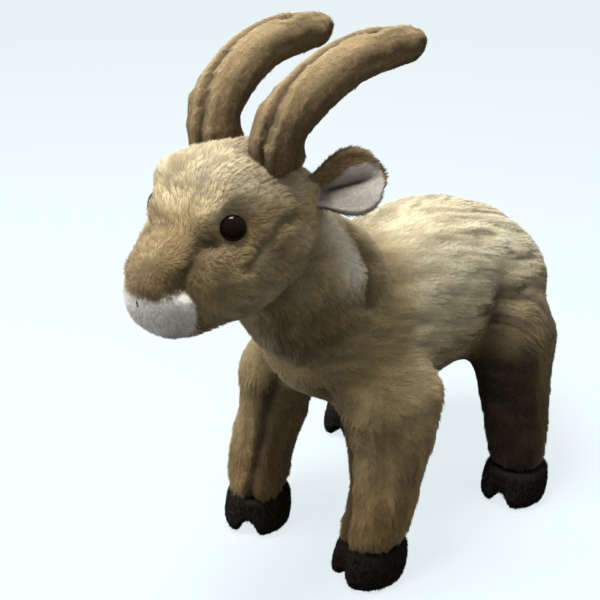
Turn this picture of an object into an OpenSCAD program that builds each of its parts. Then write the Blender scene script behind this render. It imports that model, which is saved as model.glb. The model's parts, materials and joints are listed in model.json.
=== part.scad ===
// Standing horned goat soft toy, millimetres, +Z up, nose toward -Y, its left side toward +X.
// The origin lies on the floor under the middle of the toy's bounding box.

/* [Plush] */
// thickness of the plush fabric panels
plush = 3; // [2:0.5:4]
// gap left along the sewn seams between neighbouring panels
seam = 0.3; // [0.2:0.1:0.6]
// clearance between parts that bend against each other
bend_gap = 0.5; // [0.4:0.1:0.8]

/* [Body] */
// half width of the trunk at its widest place
trunk_half_w = 52; // [48:1:56]
// height of the back above the floor
back_z = 182; // [178:1:188]
// height of the belly above the floor
belly_z = 82; // [81:1:87]

/* [Head] */
// half width of the head at the cheeks
head_half_w = 38; // [35:1:41]
// half width of the muzzle
muzzle_half_w = 25; // [22:1:28]
// diameter of the eye domes
eye_d = 12; // [9:1:14]

/* [Horns and ears] */
// radius of a horn where it leaves the head
horn_r = 11.8; // [10:0.2:12.4]
// height the horns rise above their roots
horn_rise = 43; // [34:1:52]
// length an ear reaches out from the head
ear_len = 35; // [28:1:44]
// widest half width of an ear
ear_half_w = 16; // [13:1:20]

/* [Legs] */
// half distance between the front hooves
front_half_stance = 42; // [40:1:46]
// half distance between the hind hooves
hind_half_stance = 62; // [56:1:66]
// height of the dark hooves
hoof_h = 22; // [18:1:26]
// height of the arch under the cleft of a hoof
cleft_h = 4.5; // [3:0.5:6]

/* [Tail] */
// length of the hanging part of the tail
tail_drop = 30; // [18:1:40]

/* [Hidden] */
// room between a fabric panel and the stuffing behind it
slack = 1.3;
// distance from the middle of the box forward to the point the lengths are measured from
mid_y = 23.28;
// height of the floor in the working heights below
ground = 3;
fur = [0.74, 0.68, 0.53];
fur_dark = [0.60, 0.52, 0.38];
white = [0.88, 0.86, 0.83];
hoof_black = [0.10, 0.08, 0.06];
stuffing = [0.95, 0.95, 0.97];
eye_black = [0.03, 0.02, 0.02];
$fn = 48;

// pivots of the bending parts, given for the left side
neck_c = [0, -66, 165];
neck_r = 41.6;
head_c = [0, -118, 220];
shoulder_c = [39, -47, 100];
shoulder_r = 29.6;
hip_c = [46, 67, 100];
hip_r = 33.6;
horn_c = [17, -114, 247];
horn_root_r = 13;
ear_c = [28.5, -98, 233];
ear_root_r = 9;
tail_c = [0, 117, 148];
tail_root_r = 7;

function unit(v) = v / norm(v);
function flat(l) = [for (a = l) for (b = a) b];
// smooth curve through rows [x, value...] that never overshoots much
function seg(x, rows, i = 0) = (i >= len(rows) - 2 || x < rows[i + 1][0]) ? i : seg(x, rows, i + 1);
function slope(rows, i, k) =
  i <= 0 ? (rows[1][k] - rows[0][k]) / (rows[1][0] - rows[0][0])
  : i >= len(rows) - 1 ? (rows[i][k] - rows[i - 1][k]) / (rows[i][0] - rows[i - 1][0])
  : (rows[i + 1][k] - rows[i - 1][k]) / (rows[i + 1][0] - rows[i - 1][0]);
function smooth(x, rows, k) =
  let (i = seg(x, rows), h = rows[i + 1][0] - rows[i][0], t = (x - rows[i][0]) / h)
  (2 * t^3 - 3 * t^2 + 1) * rows[i][k] + (t^3 - 2 * t^2 + t) * h * slope(rows, i, k)
  + (3 * t^2 - 2 * t^3) * rows[i + 1][k] + (t^3 - t^2) * h * slope(rows, i + 1, k);
// a section is [centre, right half vector, upper half vector, lower half vector, squareness]
function power(t, n) = sign(t) * pow(abs(t), 2 / n);
function rim(s, a) =
  s[0] + s[1] * power(cos(a), s[4]) + (sin(a) > 0 ? s[2] : s[3]) * power(sin(a), s[4]);
function ease(i, n) = (1 - cos(180 * i / n)) / 2;

// faces as listed, or with every one turned over
function faces(list, over) = over ? [for (f = list) [f[0], f[2], f[1]]] : list;

// closed solid through whole sections
module loft(secs, around) {
  rows = len(secs);
  over = cross(secs[1][1], secs[1][2]) * (secs[2][0] - secs[1][0]) > 0;
  pts = concat(
    [for (s = secs) for (j = [0:around - 1]) rim(s, 360 * j / around)],
    [secs[0][0], secs[rows - 1][0]]);
  a = rows * around;
  polyhedron(pts, faces(concat(
    [for (i = [0:rows - 2]) for (j = [0:around - 1]) for (k = [0, 1])
      let (p = i * around + j, q = i * around + (j + 1) % around)
      k == 0 ? [p, q, q + around] : [p, q + around, p + around]],
    [for (j = [0:around - 1]) [a, (j + 1) % around, j]],
    [for (j = [0:around - 1]) [a + 1, a - around + j, a - around + (j + 1) % around]]), over));
}

// closed slab between two grids of points with the same rows and columns
module slab(outer, inner) {
  m = len(outer);
  n = len(outer[0]);
  b = m * n;
  i0 = floor(m / 2);
  j0 = floor(n / 2);
  o = outer[i0][j0];
  over = cross(outer[i0][j0 + 1] - o, outer[i0 + 1][j0] - o) * (o - inner[i0][j0]) > 0;
  polyhedron(concat(flat(outer), flat(inner)), faces(concat(
    [for (i = [0:m - 2]) for (j = [0:n - 2]) for (k = [0, 1])
      let (p = i * n + j)
      k == 0 ? [p, p + 1, p + n + 1] : [p, p + n + 1, p + n]],
    [for (i = [0:m - 2]) for (j = [0:n - 2]) for (k = [0, 1])
      let (p = b + i * n + j)
      k == 0 ? [p, p + n + 1, p + 1] : [p, p + n, p + n + 1]],
    [for (j = [0:n - 2]) for (k = [0, 1])
      k == 0 ? [j, b + j, b + j + 1] : [j, b + j + 1, j + 1]],
    [for (j = [0:n - 2]) for (k = [0, 1])
      let (p = (m - 1) * n + j)
      k == 0 ? [p, b + p + 1, b + p] : [p, p + 1, b + p + 1]],
    [for (i = [0:m - 2]) for (k = [0, 1])
      let (p = i * n)
      k == 0 ? [p, p + n, b + p + n] : [p, b + p + n, b + p]],
    [for (i = [0:m - 2]) for (k = [0, 1])
      let (p = i * n + n - 1)
      k == 0 ? [p, b + p + n, p + n] : [p, b + p, b + p + n]]), over));
}

// fabric panel between angles from and to, each a function of the place along the part
module panel(sec, t0, t1, rows, from, to, cols) {
  slab(
    [for (i = [0:rows]) let (t = t0 + (t1 - t0) * i / rows, s = sec(t, 0))
      [for (j = [0:cols]) rim(s, from(t) + (to(t) - from(t)) * j / cols)]],
    [for (i = [0:rows]) let (t = t0 + (t1 - t0) * i / rows, s = sec(t, plush))
      [for (j = [0:cols]) rim(s, from(t) + (to(t) - from(t)) * j / cols)]]);
}

module filling(sec, t0, t1, rows, around) {
  loft([for (i = [0:rows]) sec(t0 + (t1 - t0) * i / rows, plush + slack)], around);
}

module mirrored(side) {
  if (side > 0) children();
  else mirror([1, 0, 0]) children();
}

// ---- trunk ----
trunk_front = -88;
trunk_back = 125;
trunk_front_cap = 40;
trunk_back_cap = 40;
back_top = back_z + ground;
belly_low = belly_z + ground;
// y, half width, top, bottom, squareness
trunk_rows = [
  [-88, 41, back_top - 14, belly_low + 12, 2.1],
  [-50, 43, back_top - 10, belly_low + 10, 2.1],
  [-25, 45, back_top - 4, belly_low + 5, 2.15],
  [0, 48, back_top, belly_low + 1, 2.3],
  [35, trunk_half_w - 2, back_top, belly_low, 2.4],
  [66, trunk_half_w, back_top - 4, belly_low + 2, 2.3],
  [90, trunk_half_w, back_top - 10, belly_low + 5, 2.2],
  [125, trunk_half_w - 2, back_top - 22, belly_low + 9, 2.1]];
function cap(y, y0, y1, c0, c1) =
  y < y0 + c0 ? sqrt(max(0.003, 1 - ((y0 + c0 - y) / c0)^2))
  : y > y1 - c1 ? sqrt(max(0.003, 1 - ((y - y1 + c1) / c1)^2)) : 1;
trunk_sec = function(t, d)
  let (
    y = trunk_front + d + (trunk_back - trunk_front - 2 * d) * ease(t, 1),
    k = cap(y, trunk_front + d, trunk_back - d, trunk_front_cap - d, trunk_back_cap - d),
    up = smooth(y, trunk_rows, 2),
    low = smooth(y, trunk_rows, 3),
    h = (up - low) / 2 - d,
    w = smooth(y, trunk_rows, 1) - d)
  [[0, y, (up + low) / 2 - (1 - k) * 4], [w * k, 0, 0], [0, 0, h * k], [0, 0, h * k],
    smooth(y, trunk_rows, 4)];
spine_a = function(t) 90 - 0.4 - 6 * (1 - sin(180 * t));
belly_a = function(t) -48 - 6 * (1 - sin(180 * t));
belly_edge_a = function(t) belly_a(t) - 0.5;
belly_far_a = function(t) -180 - belly_a(t) + 0.5;

// half thickness of the trunk left between the front legs
leg_wall = 16.4;
reach = 90;
// round seat for the top of a leg, wider below where the leg swings past the belly
module leg_free(side, pivot, r, wall) {
  swing_r = r + 8;
  swing_top = -11.5;
  translate([side > 0 ? wall : -reach, pivot[1], pivot[2]]) rotate([0, 90, 0]) {
    cylinder(r = r + bend_gap, h = reach - wall, $fn = 96);
    intersection() {
      cylinder(r = swing_r, h = reach - wall, $fn = 96);
      translate([-swing_top, -reach / 2, 0]) cube([reach / 2, reach, reach]);
    }
  }
}

// space kept free for the neck, the legs and the tail
module trunk_free() {
  translate(neck_c) sphere(neck_r + bend_gap, $fn = 96);
  for (s = [1, -1]) {
    leg_free(s, shoulder_c, shoulder_r, leg_wall);
    leg_free(s, hip_c, hip_r, leg_wall + 4);
  }
  translate(tail_c) sphere(tail_root_r + bend_gap);
}

module trunk_side(side) {
  color(fur) place() difference() {
    mirrored(side) panel(trunk_sec, 0, 1, 18, belly_a, spine_a, 9);
    trunk_free();
  }
}

module belly_panel() {
  color(fur) place() difference() {
    panel(trunk_sec, 0, 1, 18, belly_far_a, belly_edge_a, 5);
    trunk_free();
  }
}

module trunk_stuffing() {
  color(stuffing) place() difference() {
    filling(trunk_sec, 0, 1, 16, 20);
    trunk_free();
  }
}

module place() {
  translate([0, mid_y, -ground]) children();
}

// ---- neck ----
neck_dir = unit(head_c - neck_c);
neck_up = [0, neck_dir[2], -neck_dir[1]];
// distance from the middle of the head to the flat seam between head and neck
neck_cut = 24;
neck_end = norm(head_c - neck_c) - neck_cut;
// distance along the neck, radius
neck_rows = [[0, neck_r], [12, 39.7], [22, 37.6], [36, 35], [neck_end, 31.5], [neck_end + 5, 30]];
neck_sec = function(t, d)
  let (
    s = -neck_r + d + (neck_end - seam / 2 + neck_r - d) * t,
    r = s < 0 ? sqrt(max(3, (neck_r - d)^2 - s^2)) : smooth(s, neck_rows, 1) - d)
  [neck_c + neck_dir * s, [r, 0, 0], neck_up * r, neck_up * r, 2];

module neck_side(side) {
  color(fur) place() mirrored(side)
    panel(neck_sec, 0, 1, 13, function(t) -89.5, function(t) 89.5, 9);
}

module neck_stuffing() {
  color(stuffing) place() filling(neck_sec, 0, 1, 10, 16);
}

// ---- head ----
head_back = -80;
head_nose = -187.5;
head_back_cap = 38;
head_nose_cap = 17;
// y, half width, top, bottom, squareness
head_rows = [
  [-187.5, muzzle_half_w - 3, 216, 180, 2.2],
  [-180, muzzle_half_w - 1, 220, 176, 2.2],
  [-171, muzzle_half_w, 225, 175, 2.2],
  [-163, muzzle_half_w + 1, 233, 175, 2.2],
  [-155, head_half_w - 7.5, 246, 175, 2.2],
  [-145, head_half_w - 2.5, 255, 175, 2.15],
  [-131, head_half_w, 259, 175.5, 2.1],
  [-118, head_half_w, 259, 178, 2],
  [-80, head_half_w - 1, 257, 184, 2]];
head_sec = function(t, d)
  let (
    y = head_nose + d + (head_back - head_nose - 2 * d) * ease(t, 1),
    k = cap(y, head_nose + d, head_back - d, head_nose_cap - d, head_back_cap - d),
    up = smooth(y, head_rows, 2),
    low = smooth(y, head_rows, 3),
    h = (up - low) / 2 - d,
    w = smooth(y, head_rows, 1) - d)
  [[0, y, (up + low) / 2], [w * k, 0, 0], [0, 0, h * k], [0, 0, h * k], smooth(y, head_rows, 4)];

// share of the head's length covered by the pale muzzle
muzzle_t = 0.22;
// share of the head's length, half angle of the gusset: the nose bridge, the brows and the crown
gusset_rows = [
  [0, 84], [0.1, 76], [0.2, 64], [0.3, 49], [0.37, 41], [0.5, 40], [0.65, 39], [0.8, 34], [1, 20]];
gusset_half = function(t) smooth(t, gusset_rows, 1);
gusset_a = function(t) 90 - gusset_half(t);
gusset_far_a = function(t) 90 + gusset_half(t);
cheek_top_a = function(t) 90 - gusset_half(t) - 0.5;
cheek_low_a = function(t) -55;
throat_a = function(t) -124.5;
throat_far_a = function(t) -55.5;

// direction of a horn at its root, how far it bends, and the radius of its hole in the head
horn_lean = unit([0.5, -1.5, 0.25 * horn_rise]);
horn_swing = 10;
horn_hole_r = max(horn_r, 12.2) + bend_gap;

eye_c = [24.1, -150.2, 228.8];
eye_dir = unit([0.66, -0.73, 0.16]);
shank_r = 2;
shank_len = 13;

module aim(p, dir) {
  translate(p) rotate([0, acos(dir[2]), atan2(dir[1], dir[0])]) children();
}

// space behind an eye, from the end of its shank out past the face
module eye_bore(r) {
  aim(eye_c, eye_dir) translate([0, 0, -shank_len - 1]) cylinder(r = r, h = shank_len + 12);
}

// space kept free in the head for the neck, horns, ears and eye fittings
module head_free(eye_r = shank_r + 0.2) {
  aim(head_c - neck_dir * neck_cut, -neck_dir) translate([-60, -60, 0]) cube([120, 120, 60]);
  for (s = [1, -1]) mirrored(s) {
    translate(horn_c) sphere(horn_root_r + bend_gap);
    for (swing = [-horn_swing, 0, horn_swing])
      translate(horn_c) rotate([swing, 0, 0]) aim([0, 0, 0], horn_lean) cylinder(r = horn_hole_r, h = 20);
    translate(ear_c) sphere(ear_root_r + bend_gap);
    eye_bore(eye_r);
  }
}

module cheek(side) {
  color(fur) place() difference() {
    union() {
      mirrored(side) panel(head_sec, muzzle_t, 1, 14, cheek_low_a, cheek_top_a, 8);
      mirrored(side) aim(eye_c, eye_dir) translate([0, 0, -fabric_at_eye])
        cylinder(r = dimple_r, h = fabric_at_eye + 3);
    }
    head_free();
    mirrored(side) aim(eye_c, eye_dir) cylinder(r = eye_d / 2 + 0.3, h = 8);
    mirrored(side) aim(eye_c, eye_dir) translate([0, 0, -8])
      cylinder(r = washer_r + 0.3, h = 8 - fabric_at_eye);
  }
}

// fabric pressed in under an eye dome, and the washer that holds the eye from behind
fabric_at_eye = 1.3;
dimple_r = 8;
washer_r = 7;

module forehead_gusset() {
  color(fur) place() difference() {
    panel(head_sec, 0, 1, 18, gusset_a, gusset_far_a, 8);
    head_free();
    nose_groove();
  }
}

module throat_panel() {
  color(fur) place() difference() {
    panel(head_sec, muzzle_t, 0.9, 9, throat_a, throat_far_a, 5);
    head_free();
  }
}

module muzzle_panel() {
  last = muzzle_t - 0.004;
  color(white) place() difference() {
    panel(head_sec, 0, last, 6, muzzle_from, muzzle_to, 14);
    nose_groove();
  }
}
muzzle_from = function(t) -270 + gusset_half(t) + 0.5;
muzzle_to = function(t) 90 - gusset_half(t) - 0.5;

module head_stuffing() {
  color(stuffing) place() difference() {
    filling(head_sec, 0, 1, 14, 18);
    head_free(dimple_r + 1.2);
  }
}

// short groove down the front of the nose and the thread that lies in it
stitch_r = 0.6;
stitch_len = 4.6;
module nose_groove() {
  translate(head_sec(0, 0)[0]) cube([2.8 * stitch_r, 5 * stitch_r, stitch_len + 1], center = true);
}

module nose_stitch() {
  color(eye_black) place() translate(head_sec(0, 0)[0] + [0, stitch_r, 0])
    cylinder(r = stitch_r, h = stitch_len, center = true, $fn = 36);
}

module eye(side) {
  color(eye_black) place() mirrored(side) aim(eye_c, eye_dir) {
    rotate_extrude() polygon(concat(
      [[0, 0.2], [eye_d / 2 - 0.4, 0.2], [eye_d / 2, 0.7]],
      [for (a = [15:15:90]) [eye_d / 2 * cos(a), 0.7 + 4.2 * sin(a)]]));
    translate([0, 0, -shank_len]) cylinder(r = shank_r, h = shank_len + 1);
  }
}

module eye_washer(side) {
  color(stuffing) place() mirrored(side) aim(eye_c, eye_dir)
    translate([0, 0, -fabric_at_eye - 2.2]) difference() {
    union() {
      cylinder(r = washer_r, h = 1.6);
      translate([0, 0, -2]) cylinder(r = 3.6, h = 2.5);
    }
    translate([0, 0, -4]) cylinder(r = shank_r + 0.05, h = 8);
  }
}

// ---- horns ----
// share of the length, centre x, y, z and radius; the first rows are the root inside the head
horn_rows = [
  [0, 17, -114, 247 - 0.05 * horn_rise, 12.2],
  [0.1, 17.5, -115.5, 247 + 0.2 * horn_rise, horn_r],
  [0.25, 19.8, -113, 247 + 0.47 * horn_rise, horn_r - 0.2],
  [0.42, 22.4, -99.5, 247 + 0.74 * horn_rise, horn_r - 0.7],
  [0.58, 24.6, -81, 247 + 0.93 * horn_rise, horn_r - 1.4],
  [0.74, 26.2, -59, 247 + 1.02 * horn_rise, horn_r - 2.4],
  [0.89, 27.4, -34, 247 + 1.02 * horn_rise, horn_r - 3.6],
  [1, 28, -18, 247 + 0.98 * horn_rise, horn_r - 4.4]];
function horn_at(t) = [smooth(t, horn_rows, 1), smooth(t, horn_rows, 2), smooth(t, horn_rows, 3)];
horn_sec = function(t, d)
  let (
    u = 1 - pow(1 - t, 1.6),
    dir = unit(horn_at(min(1, u + 0.01)) - horn_at(max(0, u - 0.01))),
    side = unit(cross(dir, [0, -dir[2], dir[1]])),
    out = cross(side, dir),
    tip = 0.07,
    k = u > 1 - tip ? sqrt(max(0.04, 1 - ((u - 1 + tip) / tip)^2)) : 1,
    r = (smooth(u, horn_rows, 4) - d) * k)
  [horn_at(u) - dir * d * (u > 0.9 ? 0.6 : 0), [r, 0, 0], out * r, out * r, 2];
horn_from = 0.02;

module horn_panel(side, from, to) {
  color(fur_dark) place() mirrored(side)
    panel(horn_sec, horn_from, 1, 13, function(t) from, function(t) to, 6);
}

module horn_outer(side) { horn_panel(side, -89, 89); }
module horn_inner(side) { horn_panel(side, 91, 269); }

module horn_stuffing(side) {
  color(stuffing) place() mirrored(side)
    loft([for (i = [0:10]) horn_sec(horn_from + (0.82 - horn_from) * i / 10, plush + slack)], 12);
}

// ---- ears ----
ear_dir = unit([0.74, 0.62, 0.26]);
ear_face = unit([0.53, -0.77, 0.32] - ear_dir * (ear_dir * [0.53, -0.77, 0.32]));
ear_side = cross(ear_dir, ear_face);
ear_rows = [
  [0, 0.44], [0.16, 0.55], [0.32, 0.80], [0.5, 0.96], [0.64, 1], [0.78, 0.92], [0.9, 0.70], [1, 0.32]];
// point of the ear sheet at share u of the length and share v across, lifted off by d
function ear_pt(u, v, d) =
  ear_c + ear_dir * (ear_len * u - 3 + (1 - v * v) * 1.5)
  + ear_side * (ear_half_w * smooth(u, ear_rows, 1) - 0.4 * d) * v
  + ear_face * ((v * v - 0.5) * (7.5 - 4.5 * u) + d);

module ear_sheet(d0, d1, inset) {
  slab(
    [for (i = [0:8]) [for (j = [0:8]) ear_pt(i / 8 * (1 - inset), (j / 4 - 1) * (1 - inset), d1)]],
    [for (i = [0:8]) [for (j = [0:8]) ear_pt(i / 8 * (1 - inset), (j / 4 - 1) * (1 - inset), d0)]]);
}

module ear_back(side) {
  color(fur_dark) place() mirrored(side) ear_sheet(-2.4, 0, 0);
}

module ear_lining(side) {
  color(white) place() mirrored(side) ear_sheet(0.2, 1.8, 0.06);
}

// ---- legs ----
// height, centre x, centre y, half width, half depth; the top rows follow the pivot's circle
front_rows = [
  [ground + hoof_h + seam, front_half_stance, -62.5, 17.2, 19.2],
  [37, front_half_stance + 0.6, -60, 17.8, 20.4],
  [55, front_half_stance + 1.2, -55.5, 18.8, 22],
  [75, front_half_stance, -50, 19.8, 23.6],
  [88, 40.2, -48.4, 20.2, 25.2],
  [shoulder_c[2], 38.6, -47, 20.6, shoulder_r],
  [shoulder_c[2] + 12, 38, -47, 20, 27],
  [shoulder_c[2] + shoulder_r, 36, -47, 17, 0]];
hind_rows = [
  [ground + hoof_h + seam, hind_half_stance, 59, 17.2, 17],
  [37, hind_half_stance - 1, 60, 17.6, 17.8],
  [53, hind_half_stance - 3, 62, 19, 20.5],
  [70, hind_half_stance - 7, 64.5, 21.2, 25],
  [86, 51, 66.4, 23.6, 29.8],
  [hip_c[2], 48, 67, 25.2, hip_r],
  [hip_c[2] + 14, 46, 67, 24, 30.5],
  [hip_c[2] + hip_r, 42, 67, 20, 0]];
// a leg's sections turn with its toe below the pivot: fully at turn_z, not at all at the pivot
turn_z = 66;
front_toe_in = 20;
function leg_sec(rows, pivot, r0, toe, t, d) =
  let (
    z0 = rows[0][0],
    top = pivot[2] + r0 - d,
    z = z0 + (top - z0) * sin(90 * t),
    up = z - pivot[2],
    round = up > 0 ? sqrt(max(2, (r0 - d)^2 - up^2)) : 0,
    k = up > 0 ? sqrt(max(0.01, 1 - (up / (r0 - d))^2)) : 1,
    w = (smooth(z, rows, 3) - d) * pow(k, 0.8),
    l = up > 0 ? round : smooth(z, rows, 4) - d,
    turn = toe * ease(min(1, max(0, (pivot[2] - z) / (pivot[2] - turn_z))), 1),
    along = [sin(turn), cos(turn), 0] * l)
  [[smooth(z, rows, 1), smooth(z, rows, 2), z], [cos(turn), -sin(turn), 0] * w, along, along, 2.1];
front_sec = function(t, d) leg_sec(front_rows, shoulder_c, shoulder_r, front_toe_in, t, d);
hind_sec = function(t, d) leg_sec(hind_rows, hip_c, hip_r, 0, t, d);

module leg_panel(side, sec, from, to) {
  color(fur) place() mirrored(side)
    panel(sec, 0, 1, 12, function(t) from, function(t) to, 7);
}

module leg_stuffing(side, sec) {
  color(stuffing) place() mirrored(side) filling(sec, 0, 1, 12, 18);
}

// share of the height, half width, half depth, forward shift, depth of the cleft
hoof_rows = [
  [0, 15.8, 17.4, -3, 0.20],
  [0.1, 17.8, 19.6, -3.2, 0.24],
  [0.3, 19, 21, -3, 0.24],
  [0.6, 19, 20.8, -1.8, 0.16],
  [0.85, 18.2, 19.8, -0.8, 0.06],
  [1, 17, 18.8, -0.2, 0.02]];
cleft_half_a = 16;
function hoof_ring(t, around) =
  let (
    h = smooth(t, hoof_rows, 1),
    c = [0, smooth(t, hoof_rows, 3), hoof_h * t],
    cleft = smooth(t, hoof_rows, 4))
  [for (j = [0:around - 1])
    let (a = 360 * j / around, off = (a - 270) / cleft_half_a, k = 1 - cleft * exp(-off * off))
    c + [h * k * cos(a), smooth(t, hoof_rows, 2) * k * sin(a), 0]];

module hoof(side, rows, toe_in) {
  around = 30;
  steps = 7;
  rings = [for (i = [0:steps]) hoof_ring(i / steps, around)];
  b = (steps + 1) * around;
  color(hoof_black) place() mirrored(side)
    translate([rows[0][1], rows[0][2], ground]) rotate([0, 0, -toe_in]) difference() {
    polyhedron(concat(flat(rings), [[0, -1, 0], [0, 0, hoof_h]]), concat(
      [for (i = [0:steps - 1]) for (j = [0:around - 1]) for (k = [0, 1])
        let (p = i * around + j, q = i * around + (j + 1) % around)
        k == 0 ? [p, q + around, q] : [p, p + around, q + around]],
      [for (j = [0:around - 1]) [b, j, (j + 1) % around]],
      [for (j = [0:around - 1]) [b + 1, b - around + (j + 1) % around, b - around + j]]));
    arch_r = 6.5;
    translate([0, -40, cleft_h - arch_r])
      rotate([-90, 0, 0]) cylinder(r = arch_r, h = 80);
  }
}

// ---- tail ----
tail_rows = [
  [0, 117, 148, 7],
  [0.12, 121, 147.5, 7.2],
  [0.3, 127.5, 144, 7.8],
  [0.5, 132.5, 148 - 0.45 * tail_drop, 8.8],
  [0.75, 134.5, 148 - 0.8 * tail_drop, 8.6],
  [1, 134, 148 - 1.2 * tail_drop, 5]];
function tail_at(t) = [0, smooth(t, tail_rows, 1), smooth(t, tail_rows, 2)];
tail_sec = function(t, d)
  let (
    dir = unit(tail_at(min(1, t + 0.02)) - tail_at(max(0, t - 0.02))),
    up = [0, -dir[2], dir[1]],
    k = t > 0.88 ? sqrt(max(0.03, 1 - ((t - 0.88) / 0.12)^2)) : t < 0.1 ? 0.7 + 3 * t : 1,
    r = smooth(t, tail_rows, 3) * k)
  [tail_at(t), [r - d, 0, 0], up * (0.75 * r - d), up * (0.75 * r - d), 2];

// share of the tail's radius left hollow where its two fabric halves meet
tail_core = 0.12;
module tail_panel(from, to) {
  secs = [for (i = [0:10]) tail_sec(i / 10, 0)];
  angles = [for (j = [0:6]) from + (to - from) * j / 6];
  color(fur) place() slab(
    [for (s = secs) [for (a = angles) rim(s, a)]],
    [for (s = secs) [for (a = angles) s[0] + (rim(s, a) - s[0]) * tail_core]]);
}

module trunk_left() { trunk_side(1); }
module trunk_right() { trunk_side(-1); }
module neck_left() { neck_side(1); }
module neck_right() { neck_side(-1); }
module cheek_left() { cheek(1); }
module cheek_right() { cheek(-1); }
module eye_left() { eye(1); }
module eye_right() { eye(-1); }
module eye_washer_left() { eye_washer(1); }
module eye_washer_right() { eye_washer(-1); }
module horn_left_outer() { horn_outer(1); }
module horn_left_inner() { horn_inner(1); }
module horn_left_stuffing() { horn_stuffing(1); }
module horn_right_outer() { horn_outer(-1); }
module horn_right_inner() { horn_inner(-1); }
module horn_right_stuffing() { horn_stuffing(-1); }
module ear_left_back() { ear_back(1); }
module ear_left_lining() { ear_lining(1); }
module ear_right_back() { ear_back(-1); }
module ear_right_lining() { ear_lining(-1); }
module front_left_outer() { leg_panel(1, front_sec, -89, 89); }
module front_left_inner() { leg_panel(1, front_sec, 91, 269); }
module front_left_stuffing() { leg_stuffing(1, front_sec); }
module front_left_hoof() { hoof(1, front_rows, front_toe_in); }
module front_right_outer() { leg_panel(-1, front_sec, -89, 89); }
module front_right_inner() { leg_panel(-1, front_sec, 91, 269); }
module front_right_stuffing() { leg_stuffing(-1, front_sec); }
module front_right_hoof() { hoof(-1, front_rows, front_toe_in); }
module hind_left_outer() { leg_panel(1, hind_sec, -89, 89); }
module hind_left_inner() { leg_panel(1, hind_sec, 91, 269); }
module hind_left_stuffing() { leg_stuffing(1, hind_sec); }
module hind_left_hoof() { hoof(1, hind_rows, 0); }
module hind_right_outer() { leg_panel(-1, hind_sec, -89, 89); }
module hind_right_inner() { leg_panel(-1, hind_sec, 91, 269); }
module hind_right_stuffing() { leg_stuffing(-1, hind_sec); }
module hind_right_hoof() { hoof(-1, hind_rows, 0); }
module tail_top() { tail_panel(2, 178); }
module tail_under() { tail_panel(182, 358); }

trunk_left();
trunk_right();
belly_panel();
trunk_stuffing();
neck_left();
neck_right();
neck_stuffing();
cheek_left();
cheek_right();
forehead_gusset();
throat_panel();
muzzle_panel();
head_stuffing();
nose_stitch();
eye_left();
eye_right();
eye_washer_left();
eye_washer_right();
horn_left_outer();
horn_left_inner();
horn_left_stuffing();
horn_right_outer();
horn_right_inner();
horn_right_stuffing();
ear_left_back();
ear_left_lining();
ear_right_back();
ear_right_lining();
front_left_outer();
front_left_inner();
front_left_stuffing();
front_left_hoof();
front_right_outer();
front_right_inner();
front_right_stuffing();
front_right_hoof();
hind_left_outer();
hind_left_inner();
hind_left_stuffing();
hind_left_hoof();
hind_right_outer();
hind_right_inner();
hind_right_stuffing();
hind_right_hoof();
tail_top();
tail_under();
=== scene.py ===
import json
import math

import bpy
import numpy as np
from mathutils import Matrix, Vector


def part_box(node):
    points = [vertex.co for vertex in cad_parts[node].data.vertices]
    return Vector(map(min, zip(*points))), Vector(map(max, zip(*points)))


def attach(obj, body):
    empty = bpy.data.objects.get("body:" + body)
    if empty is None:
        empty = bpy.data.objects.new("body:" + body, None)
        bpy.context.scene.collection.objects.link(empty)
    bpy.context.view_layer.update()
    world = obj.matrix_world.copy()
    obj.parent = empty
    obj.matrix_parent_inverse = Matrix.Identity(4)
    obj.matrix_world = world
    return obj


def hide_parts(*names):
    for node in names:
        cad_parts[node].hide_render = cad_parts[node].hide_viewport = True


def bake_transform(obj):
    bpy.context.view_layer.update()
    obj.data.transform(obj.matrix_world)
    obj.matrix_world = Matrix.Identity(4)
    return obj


# Everything is worked out in millimetres in the CAD frame, and meshes are made in metres.
MM = 0.001
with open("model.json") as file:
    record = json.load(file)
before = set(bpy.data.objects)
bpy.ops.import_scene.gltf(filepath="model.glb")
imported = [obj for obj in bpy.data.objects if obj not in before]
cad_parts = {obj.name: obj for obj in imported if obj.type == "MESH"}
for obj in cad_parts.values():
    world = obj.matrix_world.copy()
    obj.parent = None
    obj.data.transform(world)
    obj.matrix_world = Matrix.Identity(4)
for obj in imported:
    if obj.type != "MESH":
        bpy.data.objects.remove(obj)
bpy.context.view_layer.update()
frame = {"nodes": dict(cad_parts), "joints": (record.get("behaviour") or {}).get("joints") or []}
nodes = frame["nodes"]
pivot = {j["name"]: np.array(j["pos_m"]) / MM for j in frame["joints"] if "pos_m" in j}
rng = np.random.default_rng(7)

NECK = pivot["head_nod"]
NECK_DIR = np.array([0.0, -0.687, 0.727])
UP = np.array([0.0, 0.0, 1.0])
NOSE = np.array(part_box("nose_stitch")).mean(0) / MM
# the left eye: where its rim sits in the skin, and the way that it looks
EYE_SEAT = np.array([24.1, -126.92, 225.8])
EYE_LOOK = np.array([0.66, -0.73, 0.16])


# ---------------------------------------------------------------- small maths
def unit(v):
    return v / np.maximum(np.linalg.norm(v, axis=-1, keepdims=True), 1e-9)


EYE_DIR = unit(EYE_LOOK)


def smooth(x, lo, hi):
    """A soft step from 0 at lo to 1 at hi."""
    t = np.clip((x - lo) / (hi - lo), 0, 1)
    return t * t * (3 - 2 * t)


def lattice(i, seed):
    h = (i[:, 0] * 73856093) ^ (i[:, 1] * 19349663) ^ (i[:, 2] * 83492791) ^ (seed * 2654435761)
    h = (h ^ (h >> 13)) * 1274126177 & 0x7FFFFFFF
    return ((h ^ (h >> 16)) & 0xFFFF) / 65535.0


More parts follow.
